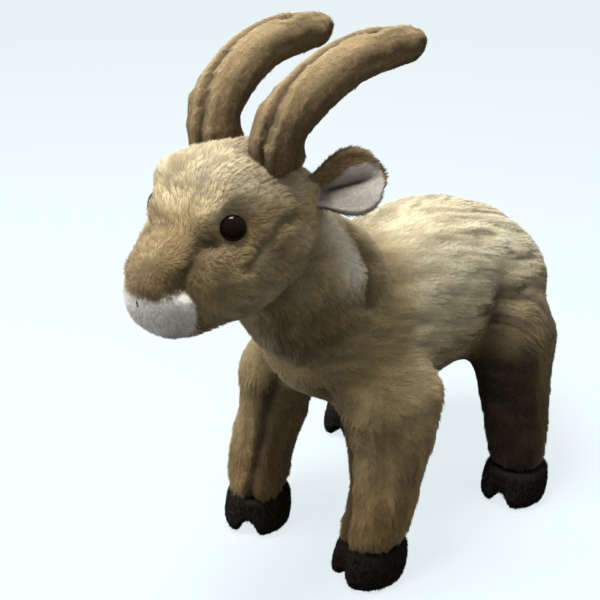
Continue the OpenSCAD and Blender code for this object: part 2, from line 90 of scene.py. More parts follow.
def noise(p, cell, seed=0):
    """Smooth value noise from 0 to 1; cell is a size in millimetres, or one size for each axis."""
    q = p / np.array(cell, float)
    i = np.floor(q).astype(np.int64)
    f = q - i
    f = f * f * (3 - 2 * f)
    total = 0
    for dx in (0, 1):
        for dy in (0, 1):
            for dz in (0, 1):
                w = (f[:, 0] if dx else 1 - f[:, 0]) * (f[:, 1] if dy else 1 - f[:, 1])
                w = w * (f[:, 2] if dz else 1 - f[:, 2])
                total = total + w * lattice(i + [dx, dy, dz], seed)
    return total


# ---------------------------------------------------------------- meshes
def verts_of(mesh):
    co = np.empty(len(mesh.vertices) * 3, np.float32)
    mesh.vertices.foreach_get("co", co)
    return co.reshape(-1, 3).astype(float) / MM


def set_verts(mesh, co):
    mesh.vertices.foreach_set("co", (co * MM).astype(np.float32).ravel())
    mesh.update()


def normals_of(mesh):
    no = np.empty(len(mesh.vertices) * 3, np.float32)
    mesh.vertices.foreach_get("normal", no)
    return no.reshape(-1, 3).astype(float)


def tris_of(mesh):
    mesh.calc_loop_triangles()
    t = np.empty(len(mesh.loop_triangles) * 3, np.int32)
    mesh.loop_triangles.foreach_get("vertices", t)
    return t.reshape(-1, 3)


def new_object(name, mesh):
    o = bpy.data.objects.new(name, mesh)
    bpy.context.scene.collection.objects.link(o)
    return o


def mesh_from(name, co, faces):
    mesh = bpy.data.meshes.new(name)
    mesh.from_pydata((co * MM).tolist(), [], faces)
    mesh.update()
    return mesh


def tube_faces(rows, around, first=0):
    """Four-sided faces between rings of points that follow each other."""
    return [[first + i * around + k, first + i * around + (k + 1) % around,
             first + (i + 1) * around + (k + 1) % around, first + (i + 1) * around + k]
            for i in range(rows - 1) for k in range(around)]


def end_faces(rows, around, first=0):
    """The two flat ends of such a tube."""
    last = first + (rows - 1) * around
    return [[first + k for k in range(around)][::-1], [last + k for k in range(around)]]


def ball(centre, r):
    """Points and faces of a coarse ball, flat at its two ends."""
    rows, around, cap = 8, 16, 0.15
    co = [centre + r * np.array([math.sin(a) * math.cos(b), math.sin(a) * math.sin(b), math.cos(a)])
          for a in np.linspace(cap, math.pi - cap, rows)
          for b in np.linspace(0, 2 * math.pi, around + 1)[:-1]]
    return np.array(co), tube_faces(rows, around) + end_faces(rows, around)


def joined(name, members, plugs=()):
    """One object from CAD solids and the balls that plug the holes between them."""
    co, faces, n = [], [], 0
    for centre, r in plugs:
        v, f = ball(centre, r)
        co.append(v)
        faces += [[i + n for i in poly] for poly in f]
        n += len(v)
    for m in members:
        mesh = nodes[m].data
        v = verts_of(mesh)
        co.append(v)
        faces += (tris_of(mesh) + n).tolist()
        n += len(v)
    return new_object(name, mesh_from(name, np.concatenate(co), faces))


def applied(o):
    """Bake an object's modifiers into its mesh."""
    bpy.context.view_layer.update()
    mesh = bpy.data.meshes.new_from_object(o.evaluated_get(bpy.context.evaluated_depsgraph_get()))
    o.modifiers.clear()
    o.data = mesh
    return o


def remesh(o, voxel):
    m = o.modifiers.new("remesh", "REMESH")
    m.mode = "VOXEL"
    m.voxel_size = voxel * MM
    return applied(o)


def swell(o, d):
    """Move a skin outward by d millimetres."""
    set_verts(o.data, verts_of(o.data) + normals_of(o.data) * d)


def relax(o, times, factor=0.5):
    m = o.modifiers.new("smooth", "SMOOTH")
    m.iterations = times
    m.factor = factor
    return applied(o)


def subdivide(o, levels=1):
    m = o.modifiers.new("subdivide", "SUBSURF")
    m.levels = m.render_levels = levels
    return applied(o)


def outer_shell(o):
    """Keep only the connected piece with the most points."""
    mesh = o.data
    e = np.empty(len(mesh.edges) * 2, np.int32)
    mesh.edges.foreach_get("vertices", e)
    e = e.reshape(-1, 2)
    label = np.arange(len(mesh.vertices))
    while True:
        low = np.minimum(label[e[:, 0]], label[e[:, 1]])
        new = label.copy()
        np.minimum.at(new, e[:, 0], low)
        np.minimum.at(new, e[:, 1], low)
        new = new[new]
        if (new == label).all():
            break
        label = new
    values, counts = np.unique(label, return_counts=True)
    keep = label == values[counts.argmax()]
    if not keep.all():
        o.data = part_mesh(o, o.name, [all(keep[v] for v in p.vertices) for p in mesh.polygons])


def part_mesh(o, name, face_keep):
    """A mesh of some of o's faces."""
    polys = [tuple(p.vertices) for p, k in zip(o.data.polygons, face_keep) if k]
    used = np.unique(np.array([v for p in polys for v in p]))
    remap = {int(v): i for i, v in enumerate(used)}
    mesh = mesh_from(name, verts_of(o.data)[used], [[remap[v] for v in p] for p in polys])
    mesh.shade_smooth()
    return mesh


def subset(o, name, face_keep):
    """A new object from some of o's faces."""
    return new_object(name, part_mesh(o, name, face_keep))


def face_centres(o):
    c = np.empty(len(o.data.polygons) * 3, np.float32)
    o.data.polygons.foreach_get("center", c)
    return c.reshape(-1, 3).astype(float) / MM


# ---------------------------------------------------------------- the stuffed body
LEGS = [("front", "left"), ("front", "right"), ("hind", "left"), ("hind", "right")]
HEAD_PANELS = ["cheek_left", "cheek_right", "forehead_gusset", "throat_panel", "muzzle_panel"]
NECK_PANELS = ["neck_left", "neck_right"]
TRUNK_PANELS = ["trunk_left", "trunk_right", "belly_panel"]
FILLINGS = ["trunk_stuffing", "neck_stuffing", "head_stuffing"]
leg_panels = [f"{e}_{s}_{k}" for e, s in LEGS for k in ("outer", "inner")]
leg_fillings = [f"{e}_{s}_stuffing" for e, s in LEGS]

# the head is closed over the roots of the horns and ears and behind the eyes
HORN_PLUG_R = 9.5
HORN_PLUG_DEPTH = 1.5
EAR_PLUG_R = 7.5
EAR_PLUG_DEPTH = 3.0
EYE_PLUG_R = 8.5
plugs = []
for side, sx in (("left", 1), ("right", -1)):
    plugs.append((pivot[f"horn_flex_{side}"] - [0, 0, HORN_PLUG_DEPTH], HORN_PLUG_R))
    plugs.append((pivot[f"ear_fold_{side}"] - [EAR_PLUG_DEPTH * sx, 0, 0], EAR_PLUG_R))
    plugs.append(((EYE_SEAT - EYE_DIR * EYE_PLUG_R) * [sx, 1, 1], EYE_PLUG_R))

# the solids are grown until the gaps between them close, then drawn in to leave room for the pile
CLOSING_VOXEL = 3.0
CLOSING = 5.0
DRAWN_IN = 6.1
SKIN_VOXEL = 3.4
body = joined("body", TRUNK_PANELS + NECK_PANELS + HEAD_PANELS + FILLINGS + leg_panels + leg_fillings, plugs)
remesh(body, CLOSING_VOXEL)
outer_shell(body)
swell(body, CLOSING)
remesh(body, CLOSING_VOXEL)
outer_shell(body)
relax(body, 3)
swell(body, -DRAWN_IN)
remesh(body, SKIN_VOXEL)
outer_shell(body)
relax(body, 4)

CLOTH_STEPS = 20
CLOTH_CAP = 2.2
# the stuffing pushes the fabric out a little between its seams
rest = verts_of(body.data)
cloth = body.modifiers.new("cloth", "CLOTH").settings
cloth.quality = 4
cloth.mass = 0.3
cloth.tension_stiffness = cloth.compression_stiffness = 14
cloth.shear_stiffness = 6
cloth.bending_stiffness = 0.6
cloth.use_pressure = True
cloth.uniform_pressure_force = 4
cloth.effector_weights.gravity = 0
for step in range(1, CLOTH_STEPS + 1):
    bpy.context.scene.frame_set(step)
applied(body)
moved = verts_of(body.data) - rest
size = np.linalg.norm(moved, axis=1, keepdims=True)
set_verts(body.data, rest + moved * np.minimum(1, CLOTH_CAP / np.maximum(size, 1e-6)))
bpy.context.scene.frame_set(1)
relax(body, 3)
subdivide(body)


# ---------------------------------------------------------------- creases pressed into the skin
def near_line(p, points):
    """Distance from each p to a run of straight lines."""
    best = np.full(len(p), 1e3)
    pts = [np.array(q, float) for q in points]
    for a, b in zip(pts[:-1], pts[1:]):
        t = np.clip(((p - a) @ (b - a)) / ((b - a) @ (b - a)), 0, 1)
        best = np.minimum(best, np.linalg.norm(p - a - t[:, None] * (b - a), axis=1))
    return best


def both(p):
    """The point moved to the left side, so that one line serves both sides."""
    q = p.copy()
    q[:, 0] = np.abs(q[:, 0])
    return q


# Lines along the left side of the skin. Those of the right side are their mirror images.
SNOUT_CREASE = [(21, -154, 202), (20, -152, 208), (20, -148, 212), (20, -144, 217), (21, -140, 220),
                (24, -136, 220)]
CHEEK_FOLD = [(37, -98, 225), (37, -107, 224), (36, -116, 219), (35, -122, 214), (33, -127, 208)]
MUZZLE_EDGE = [(20, -155, 205.5), (23.5, -152.5, 199), (24, -151, 191), (20, -149.5, 183), (8, -148, 177),
               (0, -148, 176)]
JAW_CREASE = [(0, -104, 178), (18, -98, 180), (30, -88, 188), (36, -76, 200), (36, -66, 212), (30, -58, 226),
              (16, -52, 236)]
NECK_CREASE = [(24, -42, 201), (27, -40, 197), (30, -39, 191), (35, -40, 184), (39, -42, 175),
               (41, -45, 164)]
NECK_FLAP = [(27, -67, 211), (30, -63, 206), (33, -59, 199), (35, -57, 191), (38, -56, 184)]
CROWN_EDGE = [(6, -118, 255), (9, -128, 250), (10, -138, 240), (8, -146, 230)]
FRONT_LEG_SEAM = [(16, -60, 112), (26, -52, 92), (30, -52, 76), (32, -54, 58), (34, -56, 44), (35, -57, 34),
                  (36, -58, 24)]
HIP_FOLD = [(50, 69, 138), (50, 64, 126), (49, 61, 114), (49, 59, 102), (50, 60, 90), (52, 62, 70)]


# each line with how deep and wide it draws the fabric in, how dark and wide the painted shade
# in it is, and how much each axis counts in the distance to it
CREASES = (
    (SNOUT_CREASE, 3.4, 2.6, 0.90, 3.6, (0.4, 1, 1)),
    (CHEEK_FOLD, 2.2, 2.6, 0.60, 3.4, (0.3, 1, 1)),
    (MUZZLE_EDGE, 0.9, 2.2, 0.35, 2.4, (1, 1, 1)),
    (JAW_CREASE, 2.0, 4.5, 0.65, 6.5, (1, 1, 1)),
    (NECK_CREASE, 5.0, 3.0, 0.90, 4.2, (0.4, 0.8, 1)),
    (CROWN_EDGE, 0.5, 2.5, 0.15, 2.5, (1, 1, 0.5)),
    (FRONT_LEG_SEAM, 2.8, 2.8, 0.85, 3.6, (1, 0.25, 1)),
    (HIP_FOLD, 1.1, 7.0, 0.62, 9.0, (0.3, 1, 1)))


def crease(p):
    """How deep a seam draws the fabric in at each point."""
    q = both(p)
    back_seam = np.exp(-(q[:, 0] / 2.2) ** 2) * smooth(p[:, 2], 150, 170) * smooth(p[:, 1], -30, -10)
    total = 0.35 * back_seam
    for line, depth, width, _, _, axes in CREASES:
        total = total + depth * np.exp(-(near_line(q * axes, np.array(line) * axes) / width) ** 2)
    return total


def shaded(p):
    """1 where the pile lies in the painted shade of a seam."""
    q = both(p)
    light = 1
    for line, _, _, dark, width, axes in CREASES:
        light = light * (1 - dark * np.exp(-(near_line(q * axes, np.array(line) * axes) / width) ** 2))
    return 1 - light


# middle, reach and height of each place where the stuffing stands proud (or, below 0, is drawn in)
BULGES = [
    ((27, -134, 199), (13, 14, 15), 2.6),     # cheek
    ((22, -122, 243), (13, 12, 10), 4.0),     # brow
    ((18, -137, 231), (8, 7, 7), 3.8),        # bridge beside the eye
    ((0, -131, 246), (17, 9, 9), 2.4),        # crown
    ((0, -142, 224), (14, 5, 5), -2.2),       # dip above the nose
    ((0, -153, 214), (15, 8, 8), 1.8),        # nose bridge
    ((58, -16, 92), (16, 14, 20), 5.5),       # back of the shoulder
    ((55, -4, 108), (16, 13, 13), 7.0),       # behind the shoulder, up to the belly
    ((24, -48, 86), (10, 14, 18), 4.5),       # inner front of the front leg
    ((28, -24, 82), (12, 14, 22), 4.0),       # inner back of the front leg
    ((56, -50, 46), (12, 12, 28), 3.4),       # outer front of the front leg
    ((38, -58, 26), (13, 8, 12), 3.0),        # fabric over the front hoof
    ((28, -50, 16), (10, 12, 16), 4.5),       # inner side of the front leg above the hoof
    ((54, 108, 130), (20, 18, 16), 5.5),      # rump above the leg
    ((76, 98, 86), (12, 14, 30), -3.0),       # back of the thigh
    ((47, 68, 52), (12, 12, 30), 3.5),        # front of the hind leg
]


def flap(p):
    """1 on the fold of fabric behind the jaw, which is painted pale cream: partly its own colour and partly a
    painted highlight.
    """
    axes = (0.45, 1, 1)
    return np.exp(-(near_line(both(p) * axes, np.array(NECK_FLAP) * axes) / 7.0) ** 2)


def swelling(p):
    """Fullness of the stuffing between the seams."""
    q = both(p)
    total = 3.2 * flap(p)
    for middle, reach, height in BULGES:
        total = total + height * np.exp(-np.linalg.norm((q - middle) / reach, axis=1) ** 2)
    return total


co = verts_of(body.data)
nrm = normals_of(body.data)
rel = both(co) - EYE_SEAT
along = rel @ EYE_DIR
off_axis = np.linalg.norm(rel - along[:, None] * EYE_DIR, axis=1)
near_eye = smooth(along, -9, -3)
socket = np.exp(-(off_axis / 8.0) ** 4) * near_eye
hollow = np.exp(-(off_axis / 14.0) ** 2) * near_eye
push = swelling(co) - crease(co)
push += (noise(co, (9, 16, 7), 3) - 0.5) * 1.2 + (noise(co, (22, 30, 20), 4) - 0.5) * 1.6
co = co + nrm * (push * (1 - socket))[:, None]
# skin that stands over the eye's rim is pressed back, and that around it is drawn in
over = np.maximum(along + 0.5, 0) * socket
over += np.clip(along + 1.0, 0, 3.0) * 0.6 * hollow * (1 - socket)
co -= over[:, None] * EYE_DIR * np.concatenate([np.sign(co[:, :1]), np.ones((len(co), 2))], 1)
set_verts(body.data, co)


# ---------------------------------------------------------------- flow, length and colour of the pile
def on_leg(p):
    """1 on the legs, 0 on the trunk."""
    q = both(p)
    front = smooth(q[:, 0], 14, 26) * (1 - smooth(q[:, 2], 96, 130)) * (1 - smooth(q[:, 1], -12, 4))
    hind = smooth(q[:, 0], 22, 34) * (1 - smooth(q[:, 2], 92, 134)) * smooth(q[:, 1], 44, 62)
    return np.clip(front + hind, 0, 1)


def on_head(p):
    """1 on the head, 0 on the neck and trunk."""
    return smooth((p - NECK) @ NECK_DIR, 30, 46)


def on_neck(p):
    """1 on the neck and head, 0 on the trunk."""
    return smooth((p - NECK) @ NECK_DIR, -12, 12)


def slope(p):
    """How steeply the pile of the trunk falls toward the tail; it falls steeper over the thigh."""
    return 0.34 + 0.66 * smooth(136 - p[:, 2], 0, 28) * smooth(p[:, 1], 44, 74)


def sheared(p, fall):
    """Points moved up or down so that the lie of the pile becomes level."""
    q = p.copy()
    q[:, 2] += fall * (q[:, 1] - 85)
    return q


def body_flow(p):
    """The way that the pile lies: toward the tail, down the legs and neck, and away from the nose."""
    q = both(p)
    trunk = np.tile([0.0, 1.0, 0.0], (len(p), 1))
    trunk[:, 2] -= slope(p) + 0.9 * smooth(p[:, 1], 100, 150)
    leg = np.tile([0.0, 0.18, -1.0], (len(p), 1))
    neck = np.tile([0.0, 0.62, -0.78], (len(p), 1))
    head = unit(p - [0, -168, 209]) + [0, 0, -0.15]
    cheek = smooth(q[:, 0], 16, 30) * (1 - smooth(p[:, 2], 205, 232))
    head = head * (1 - 0.5 * cheek[:, None]) + np.array([0.0, 0.5, -0.8]) * 0.5 * cheek[:, None]
    f = trunk
    for w, v in ((on_leg(p), leg), (on_neck(p), neck), (on_head(p), head)):
        f = f * (1 - w[:, None]) + v * w[:, None]
    swirl = np.stack([noise(p, 16, s) - 0.5 for s in (11, 12, 13)], 1)
    return f + swirl * (0.16 + 0.85 * on_head(p)[:, None])


# colours, as the shares of red, green and blue that the pile throws back
TAN = np.array([0.44, 0.345, 0.175])
PALE = np.array([0.85, 0.76, 0.53])
BROWN = np.array([0.25, 0.17, 0.08])
# painted shade: tan darkened for the lower body and legs
SHADE = np.array([0.34, 0.25, 0.12])
RUSSET = np.array([0.20, 0.135, 0.055])
# pale cream of the fold behind the jaw, brightened as a painted highlight
CREAM_WITH_HIGHLIGHT = np.array([0.97, 0.90, 0.69])
WHITE = np.array([0.98, 0.945, 0.89])
HORN = np.array([0.26, 0.18, 0.085])
# painted highlight colour of the horns
HORN_HIGHLIGHT = np.array([0.43, 0.33, 0.18])
BLACK = np.array([0.010, 0.007, 0.005])
FOLD_SHADE = np.array([0.03, 0.022, 0.016])


def mix(a, b, w):
    """Colour a turning into b as w goes from 0 to 1."""
    return a * (1 - w[:, None]) + b * w[:, None]


def in_muzzle(p):
    """1 on the pale muzzle, which ends at the tan nose bridge above and the cheeks behind."""
    q = both(p)
    top = 198 + 0.62 * np.maximum(q[:, 0] - 9, 0) + 0.4 * (noise(p, 3, 91) - 0.5)
    rear = -152.4 + 0.22 * (204 - q[:, 2]) + 1.2 * (noise(p, 4, 92) - 0.5)
    return smooth(top - q[:, 2], -0.6, 0.9) * smooth(rear - q[:, 1], -0.7, 0.9)


def round_trunk(p):
    """The trunk unrolled: up round its side, along the lie of the pile, and which side."""
    up = np.arctan2(p[:, 2] - 118, np.abs(p[:, 0]) + 6) * 54 + slope(p) * (p[:, 1] - 85)
    return np.stack([up, p[:, 1], np.sign(p[:, 0]) * 40], 1)


def parting(p):
    """Fine partings in the pile of the back and rump: 1 in the painted shade of a parting, below 0 on the
    painted highlight of the ridge beside it.
    """
    q = round_trunk(p)
    q[:, 0] += 3.0 * (noise(q, (16, 22, 40), 25) - 0.5)
    n = np.abs(noise(q, (2.9, 24, 40), 26) - 0.5)
    line = np.clip(1 - n / 0.2, 0, 1) - 0.5 * np.exp(-((n - 0.34) / 0.08) ** 2)
    broken = smooth(noise(q, (9, 18, 40), 27), 0.30, 0.52)
    where = smooth(p[:, 1], 14, 56) * smooth(p[:, 2], 96, 120) * (1 - 0.9 * smooth(p[:, 2], 173, 181))
    return line * broken * where


def body_tint(p):
    """The colour of the pile at each point of the body, with painted shade on the lower body, legs, belly,
    throat, partings and creases, and painted highlights on the ridges of the partings and the fold behind the
    jaw.
    """
    q = both(p)
    c = np.tile(TAN, (len(p), 1))
    back = smooth(p[:, 1] + 0.5 * (182 - p[:, 2]) + 9 * (noise(p, 24, 20) - 0.5), 2, 22)
    c = mix(c, PALE, back * smooth(p[:, 2], 100, 160) * 0.95)
    # painted shade: the pile grows darker towards the bottom of the body
    c = mix(c, SHADE, 0.7 * (1 - smooth(p[:, 2], 60, 140)))
    head = on_head(p)
    leg = on_leg(p)
    front = (p[:, 1] < 10) * leg
    hind = (p[:, 1] >= 10) * leg
    # painted shade on the inner sides of the front legs
    c = mix(c, c * [0.58, 0.54, 0.48], front * smooth(36 - q[:, 0], -3, 5))
    c = mix(c, c * [0.94, 0.84, 0.68], front * smooth(80 - p[:, 2], 0, 40))
    # painted shade over the thigh, darker towards its bottom
    thigh = smooth(p[:, 1], 52, 72) * smooth(q[:, 0], 20, 36)
    c = mix(c, c * [0.55, 0.53, 0.47], thigh * smooth(146 - p[:, 2], 0, 26))
    # painted shade on the hind legs: darker towards the bottom, and darkest on their fronts and inner sides
    c = mix(c, c * [0.66, 0.60, 0.48], hind * smooth(98 - p[:, 2], 0, 30))
    painted_shade_side = np.clip(smooth(80 - p[:, 1], -6, 8) + smooth(58 - q[:, 0], 0, 10), 0, 1)
    c = mix(c, c * [0.26, 0.22, 0.16], hind * painted_shade_side)
    # painted shade under the belly
    under = smooth(118 - p[:, 2], 0, 24) * smooth(p[:, 1], 10, 40) * (1 - leg)
    c = mix(c, c * 0.55, under)
    # painted shade on the throat under the jaw
    throat = on_neck(p) * (1 - head) * smooth(-40 - p[:, 1], 0, 30) * smooth(176 - p[:, 2], -8, 20)
    c = mix(c, c * [0.62, 0.58, 0.52], throat)
    crown = smooth(p[:, 2], 226, 248) * head
    c = mix(c, PALE * 0.5, 0.75 * crown)
    bridge = smooth(-p[:, 1], 130, 146) * (1 - smooth(q[:, 0], 19, 25)) * smooth(236 - p[:, 2], 0, 12) * head
    c = mix(c, RUSSET, 0.92 * bridge)
    # browner round the eye: partly darker pile there and partly painted shade of the hollow round the eye
    eye_ring = np.exp(-(np.linalg.norm(q - EYE_SEAT, axis=1) / 13) ** 2)
    c = mix(c, BROWN, 0.72 * eye_ring)
    blotch = smooth(noise(p, (12, 14, 12), 21), 0.5, 0.85)
    c = mix(c, BROWN, (0.16 + 0.26 * head) * blotch)
    fleck = smooth(noise(p, (9, 13, 9), 22), 0.55, 0.9) * (1 - leg) * (1 - 0.7 * bridge)
    c = mix(c, PALE * 0.8, (0.25 + 0.12 * head) * fleck)
    rough = noise(round_trunk(p), (3.2, 17, 40), 24) * (1 - head) * (1 - leg)
    rough = rough + noise(p, (4.5, 6, 4.5), 28) * head
    rough = rough + noise(p, (3.2, 3.2, 13), 29) * leg * (1 - head)
    c = c * (0.66 + 0.68 * rough)[:, None]
    # painted shade in the partings and a painted highlight on the ridges beside them
    split = parting(p)
    c = c * (1 - 0.74 * np.maximum(split, 0) - 0.5 * np.minimum(split, 0))[:, None]
    # painted shade in the creases and seams
    dark = shaded(p)
    c = mix(c, c * 0.16, dark)
    # the fold behind the jaw: partly paler fabric and partly a painted highlight
    c = mix(c, CREAM_WITH_HIGHLIGHT * (1.0 + 0.3 * rough)[:, None], flap(p) ** 0.7 * (1 - dark))
    return mix(c, WHITE * (0.94 + 0.10 * noise(p, 5, 23)[:, None]), in_muzzle(p))


def body_length(p):
    """How long the pile is at each point of the body."""
    dip = shaded(p)
    head = on_head(p)
    long = 4.8 * (1 - head) + 4.2 * head
    long = np.where(in_muzzle(p) > 0.5, 3.6, long)
    long = long * (1 - 0.2 * smooth(-p[:, 1], 136, 150) * head)
    eye_near = np.exp(-(np.linalg.norm(both(p) - EYE_SEAT, axis=1) / 7.5) ** 4)
    nose = np.exp(-(np.linalg.norm(p - NOSE, axis=1) / 3.0) ** 4)
    long = long * (1 - 0.6 * dip) * (1 - 0.6 * np.maximum(parting(p), 0))
    return long * (1 - 0.45 * eye_near) * (1 - 0.7 * nose)


# ---------------------------------------------------------------- pile made of closed strands
def triangles_mesh(name, co, tris):
    """A mesh from very many triangles."""
    mesh = bpy.data.meshes.new(name)
    mesh.vertices.add(len(co))
    mesh.vertices.foreach_set("co", (co * MM).astype(np.float32).ravel())
    mesh.loops.add(3 * len(tris))
    mesh.loops.foreach_set("vertex_index", tris.astype(np.int32).ravel())
    mesh.polygons.add(len(tris))
    mesh.polygons.foreach_set("loop_start", np.arange(0, 3 * len(tris), 3, dtype=np.int32))
    mesh.update(calc_edges=True)
    mesh.shade_smooth()
    return mesh


def set_tint(mesh, colours):
    """Paint a colour on each point, for the materials to read."""
    with_alpha = np.concatenate([np.clip(colours, 0, 1), np.ones((len(colours), 1))], 1)
    tint = mesh.attributes.new("tint", "FLOAT_COLOR", "POINT")
    tint.data.foreach_set("color", with_alpha.astype(np.float32).ravel())


def scatter(o, density):
    """Points spread evenly over an object's surface, with the surface normals there."""
    v, n, t = verts_of(o.data), normals_of(o.data), tris_of(o.data)
    area = np.linalg.norm(np.cross(v[t[:, 1]] - v[t[:, 0]], v[t[:, 2]] - v[t[:, 0]]), axis=1) / 2
    count = np.floor(np.cumsum(area * density) + rng.random()).astype(int)
    count = np.diff(np.concatenate([[0], count]))
    k = np.repeat(np.arange(len(t)), count)
    a, b = rng.random(len(k)), rng.random(len(k))
    flip = a + b > 1
    a, b = np.where(flip, 1 - a, a)[:, None], np.where(flip, 1 - b, b)[:, None]
    c = 1 - a - b
    i, j, k = t[k].T
    return c * v[i] + a * v[j] + b * v[k], unit(c * n[i] + a * n[j] + b * n[k])


def tufts(p, cell, seed):
    """Centre of the nearest tuft to each point, and the distance to it in cells."""
    cell = np.array(cell, float)
    q = p / cell
    base = np.floor(q).astype(np.int64)
    best = np.full(len(p), 1e9)
    centre = np.zeros_like(p)
    for dx in (-1, 0, 1):
        for dy in (-1, 0, 1):
            for dz in (-1, 0, 1):
                i = base + [dx, dy, dz]
                c = i + 0.15 + 0.7 * np.stack([lattice(i, seed + s) for s in (0, 1, 2)], 1)
                d = np.linalg.norm(q - c, axis=1)
                near = d < best
                best = np.where(near, d, best)
                centre[near] = c[near]
    return centre * cell, best


# a strand is a closed pyramid: three points round its root and one at its tip
SIDES = 2 * math.pi * np.arange(3) / 3
STRAND_FACES = np.array([(0, 1, 3), (1, 2, 3), (2, 0, 3), (0, 2, 1)])
# where those four points lie in a strand's own cell of the texture map
STRAND_CORNERS = np.array([(0.15, 0.12), (0.5, 0.12), (0.85, 0.12), (0.5, 0.88)])


def across_skin(v, n):
    """The part of each v that lies in the skin, which faces n."""
    return v - n * (v * n).sum(1, keepdims=True)


def pile(name, skin, density, length, width, flow, tint, lean=(48, 74), cells=((4.5, 8, 4.5), (11, 20, 8)),
         pull=(0.4, 0.25), keep=None, root=0.8, curl=0.5, deep=0.5, spread=0.12, fall=None, contrast=0.5):
    """A coat of strands on a skin, drawn together into tufts that lie along the flow.

    lean: degrees from upright at the root and at the tip; cells: sizes of the small and large tufts;
    pull: how strongly each draws its strands in; keep: which points carry strands; root: how deep they
    start; curl and spread: how untidy they are; deep: brightness at the root, where painted shade darkens
    each strand; fall: how steeply the tufts drop toward the tail; contrast: how much painted shade
    darkens the strands between tufts.
    """
    p, n = scatter(skin, density)
    if keep is not None:
        k = keep(p)
        p, n = p[k], n[k]
    m = len(p)
    f = unit(across_skin(flow(p), n))
    f = unit(f + rng.normal(0, spread, (m, 3)))
    f = unit(across_skin(f, n))
    drop = np.zeros(m) if fall is None else fall(p)
    level = sheared(p, drop)
    near, edge = tufts(level, cells[0], 31)
    far, edge_far = tufts(level, cells[1], 41)
    to_near = across_skin(sheared(near, -drop) - p, n)
    to_far = across_skin(sheared(far, -drop) - p, n)
    rise = 0.72 + 0.5 * rng.random(m)
    rise *= 1.08 - 0.28 * np.clip(edge, 0, 1) - 0.16 * np.clip(edge_far, 0, 1)
    size = length(p) * rise
    tilt = [math.radians(a) for a in lean]
    d1 = n * math.cos(tilt[0]) + f * math.sin(tilt[0])
    d2 = n * math.cos(tilt[1]) + f * math.sin(tilt[1])
    bend = rng.normal(0, 0.16 * curl, (m, 3))
    drawn = to_near * pull[0] + to_far * pull[1]
    drawn *= np.minimum(1, 0.45 * size / np.maximum(np.linalg.norm(drawn, axis=1), 1e-6))[:, None]
    start = p - n * root
    middle = start + (d1 + bend) * (0.5 * size + root)[:, None] + drawn * 0.35
    tip = middle + (d2 - bend) * (0.5 * size)[:, None] + drawn * 0.65
    d = unit(tip - start)
    s = unit(np.cross(d, n + 0.01))
    t = np.cross(d, s)
    half = width * 0.5 * (0.75 + 0.5 * rng.random(m))
    around = [s * math.cos(a) + t * math.sin(a) * 0.7 for a in SIDES]
    co = np.stack([start + a * half[:, None] for a in around] + [tip], 1).reshape(-1, 3)
    tris = (STRAND_FACES[None] + 4 * np.arange(m)[:, None, None]).reshape(-1, 3)
    mesh = triangles_mesh(name, co, tris)
    bent = [unit(0.8 * n + 0.45 * a + 0.1 * f) for a in around] + [unit(n + 0.25 * f)]
    mesh.normals_split_custom_set_from_vertices(np.stack(bent, 1).reshape(-1, 3))
    # a random tone for each strand, and painted shade that darkens the strands at the edges of tufts
    shade = 1 + 0.30 * (rng.random(m) - 0.5)
    shade *= 1.16 - contrast * np.clip(edge, 0, 1) ** 2
    c = tint(p) * shade[:, None]
    # painted shade at each strand's root and painted light at its tip
    along = np.repeat([deep, 1.18], [3, 1])
    colours = (c[:, None, :] * along[None, :, None]).reshape(-1, 3)
    set_tint(mesh, colours)
    side = int(math.ceil(math.sqrt(m)))
    cell = np.stack([np.arange(m) % side, np.arange(m) // side], 1) / side
    uv = (cell[:, None, :] + STRAND_CORNERS[STRAND_FACES.ravel()][None] / side).reshape(-1, 2)
    mesh.uv_layers.new(name="OFBake").data.foreach_set("uv", uv.astype(np.float32).ravel())
    return new_object(name, mesh)


# ---------------------------------------------------------------- materials
def material(name, colour=None, rough=0.9, sheen=0.0, specular=0.5, gain=1.0, bump=0.0, grain_scale=260.0,
             speck=0.1):
    """A node material: one colour or the painted tint, mottled by a fine grain, which may also give bump."""
    m = bpy.data.materials.new(name)
    m.use_nodes = True
    t = m.node_tree
    s = t.nodes["Principled BSDF"]
    s.inputs["Roughness"].default_value = rough
    s.inputs["Specular IOR Level"].default_value = specular
    s.inputs["Sheen Weight"].default_value = sheen
    s.inputs["Sheen Roughness"].default_value = 0.5
    place = t.nodes.new("ShaderNodeTexCoord")
    grain = t.nodes.new("ShaderNodeTexNoise")
    grain.inputs["Scale"].default_value = grain_scale
    grain.inputs["Detail"].default_value = 3
    t.links.new(place.outputs["Object"], grain.inputs["Vector"])
    mottle = t.nodes.new("ShaderNodeMapRange")
    mottle.inputs["To Min"].default_value = gain * (1 - speck)
    mottle.inputs["To Max"].default_value = gain * (1 + speck)
    t.links.new(grain.outputs["Fac"], mottle.inputs["Value"])
    mul = t.nodes.new("ShaderNodeMix")
    mul.data_type = "RGBA"
    mul.blend_type = "MULTIPLY"
    mul.inputs["Factor"].default_value = 1
    if colour is None:
        tint = t.nodes.new("ShaderNodeAttribute")
        tint.attribute_name = "tint"
        t.links.new(tint.outputs["Color"], mul.inputs["A"])
    else:
        mul.inputs["A"].default_value = (*colour, 1)
    t.links.new(mottle.outputs["Result"], mul.inputs["B"])
    t.links.new(mul.outputs["Result"], s.inputs["Base Color"])
    if bump:
        b = t.nodes.new("ShaderNodeBump")
        b.inputs["Strength"].default_value = bump
        b.inputs["Distance"].default_value = 0.0006
        t.links.new(grain.outputs["Fac"], b.inputs["Height"])
        t.links.new(b.outputs["Normal"], s.inputs["Normal"])
    return m


